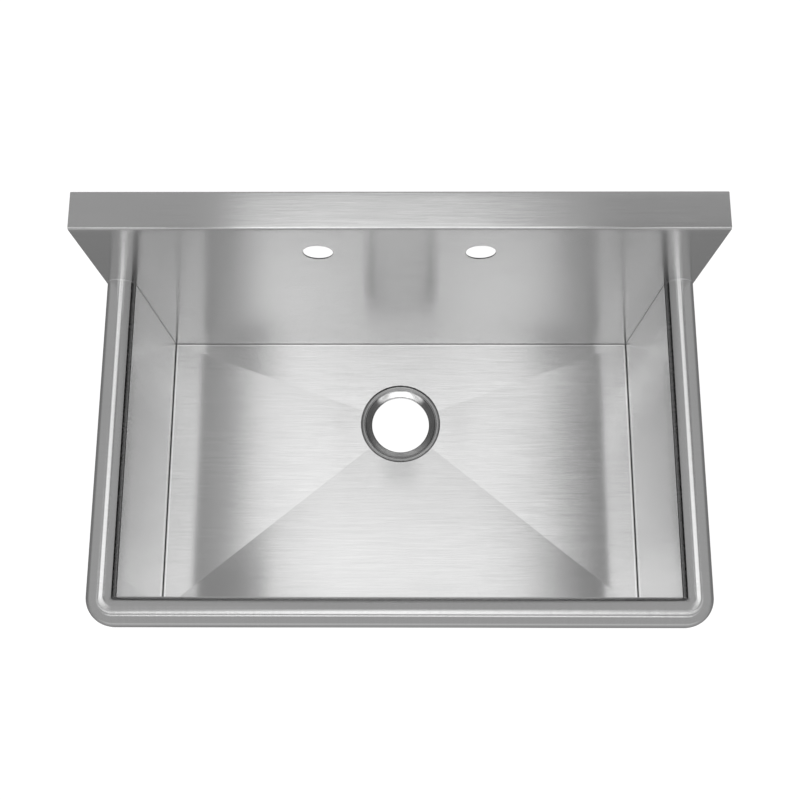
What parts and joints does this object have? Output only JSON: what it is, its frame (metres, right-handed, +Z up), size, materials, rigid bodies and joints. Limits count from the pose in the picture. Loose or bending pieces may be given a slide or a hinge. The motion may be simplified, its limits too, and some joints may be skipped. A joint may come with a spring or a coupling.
{
  "type": "commercial utility sink",
  "caption": "Wall-hung stainless utility sink: deep square bowl with creased floor and central drain, rolled rim, and a backsplash with a top return that hooks over a wall rail.",
  "frame": {"origin": "centre of the wall rail's four bolt holes, on the face of the rail that lies against the wall", "axes": "+X along the wall, to the right of a person who faces the sink; +Y into the wall, so the user stands at -Y; +Z up"},
  "size_m": [0.787, 0.508, 0.4164],
  "materials": {
    "brushed_stainless": "long-grain brushed",
    "turned_stainless": "turned and polished in rings",
    "mill_steel": "dull mill finish",
    "black_rubber": "matt moulded",
    "damping_pad": "matt pressed sheet"
  },
  "bodies": {
    "wall_mount": {"wall_rail": "mill_steel"},
    "sink": {"back_panel": "brushed_stainless", "front_panel": "brushed_stainless", "left_end_panel": "brushed_stainless", "right_end_panel": "brushed_stainless", "bowl_floor": "brushed_stainless", "drain_ring": "turned_stainless", "left_rim_corner": "brushed_stainless", "right_rim_corner": "brushed_stainless", "left_splash_end": "brushed_stainless", "right_splash_end": "brushed_stainless", "rear_support_channel": "mill_steel", "wall_bumpers": "black_rubber", "front_sound_pad": "damping_pad", "back_sound_pad": "damping_pad", "left_sound_pad": "damping_pad", "right_sound_pad": "damping_pad"}
  },
  "joints": [
    {"name": "sink_lift", "type": "slide", "parent": "wall_mount", "child": "sink", "axis": [0, 0, 1], "range_m": [0, 0.024]}
  ]
}
